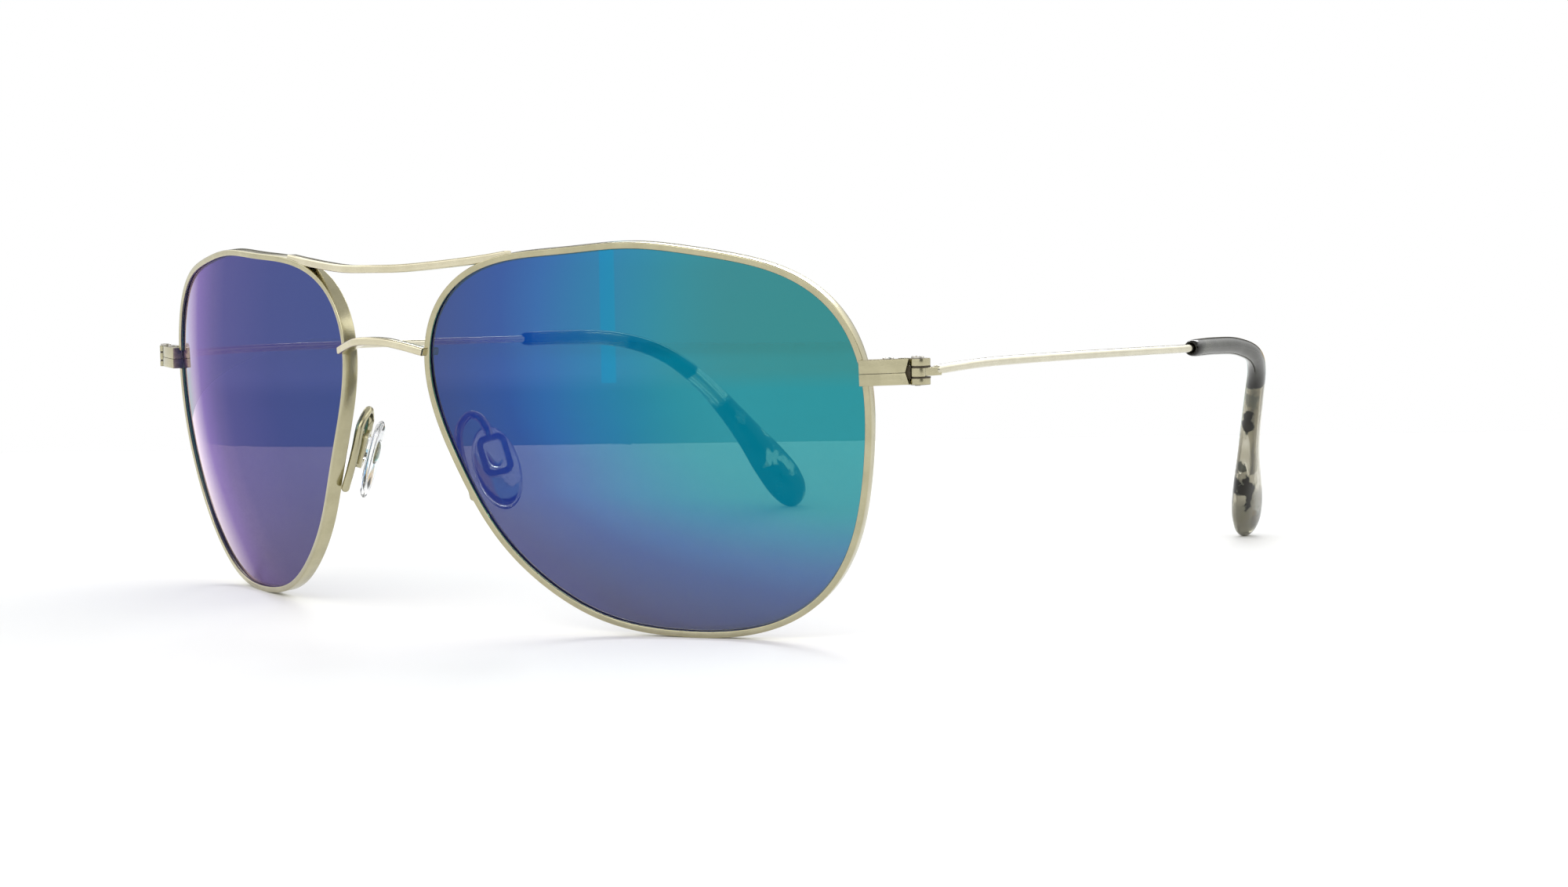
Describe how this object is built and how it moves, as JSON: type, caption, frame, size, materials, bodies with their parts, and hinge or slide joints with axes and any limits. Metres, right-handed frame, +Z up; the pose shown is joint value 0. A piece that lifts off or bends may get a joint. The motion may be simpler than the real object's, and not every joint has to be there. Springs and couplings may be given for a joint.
{
  "type": "aviator sunglasses",
  "caption": "Metal aviator sunglasses with a brow bar, curved tinted lenses, clear nose pads, and wire temples with curved plastic tips that fold inward.",
  "frame": {"origin": "middle of the glasses seen from above, at the height of the lower rims and the temple tips, where they stand", "axes": "+X to the wearer's left, +Y backwards along the temples, +Z up"},
  "size_m": [0.1418, 0.1533, 0.0494],
  "materials": {
    "frame_metal": "polished pale champagne metal",
    "screw_steel": "plain steel",
    "lens_tint": "dark tint with a blue mirror coating",
    "clear_pad": "clear soft plastic",
    "tip_acetate": "polished smoky tortoise, partly see-through"
  },
  "bodies": {
    "front": {"brow_bar": "frame_metal", "bridge": "frame_metal", "rim_left": "frame_metal", "lens_left": "lens_tint", "endpiece_upper_left": "frame_metal", "endpiece_lower_left": "frame_metal", "closing_screw_left": "screw_steel", "hinge_knuckle_upper_left": "frame_metal", "hinge_knuckle_lower_left": "frame_metal", "hinge_screw_left": "screw_steel", "pad_arm_left": "frame_metal", "pad_box_left": "frame_metal", "rim_right": "frame_metal", "lens_right": "lens_tint", "endpiece_upper_right": "frame_metal", "endpiece_lower_right": "frame_metal", "closing_screw_right": "screw_steel", "hinge_knuckle_upper_right": "frame_metal", "hinge_knuckle_lower_right": "frame_metal", "hinge_screw_right": "screw_steel", "pad_arm_right": "frame_metal", "pad_box_right": "frame_metal"},
    "temple_left": {"temple_tongue_left": "frame_metal", "temple_wire_left": "frame_metal", "temple_tip_left": "tip_acetate"},
    "temple_right": {"temple_tongue_right": "frame_metal", "temple_wire_right": "frame_metal", "temple_tip_right": "tip_acetate"},
    "pad_left": {"nose_pad_left": "clear_pad"},
    "pad_right": {"nose_pad_right": "clear_pad"}
  },
  "joints": [
    {"name": "temple_left_fold", "type": "hinge", "parent": "front", "child": "temple_left", "pos_m": [0.07, -0.05374, 0.03325], "axis": [0, 0, 1], "range_deg": [0, 78]},
    {"name": "temple_right_fold", "type": "hinge", "parent": "front", "child": "temple_right", "pos_m": [-0.07, -0.05374, 0.03325], "axis": [0, 0, -1], "range_deg": [0, 66]},
    {"name": "nose_pad_left_rock", "type": "hinge", "parent": "front", "child": "pad_left", "pos_m": [0.0126, -0.06624, 0.02222], "axis": [-0.5844, -0.7793, -0.2262], "range_deg": [-5, 5]},
    {"name": "nose_pad_right_rock", "type": "hinge", "parent": "front", "child": "pad_right", "pos_m": [-0.0126, -0.06624, 0.02222], "axis": [-0.5844, 0.7793, 0.2262], "range_deg": [-5, 5]}
  ]
}
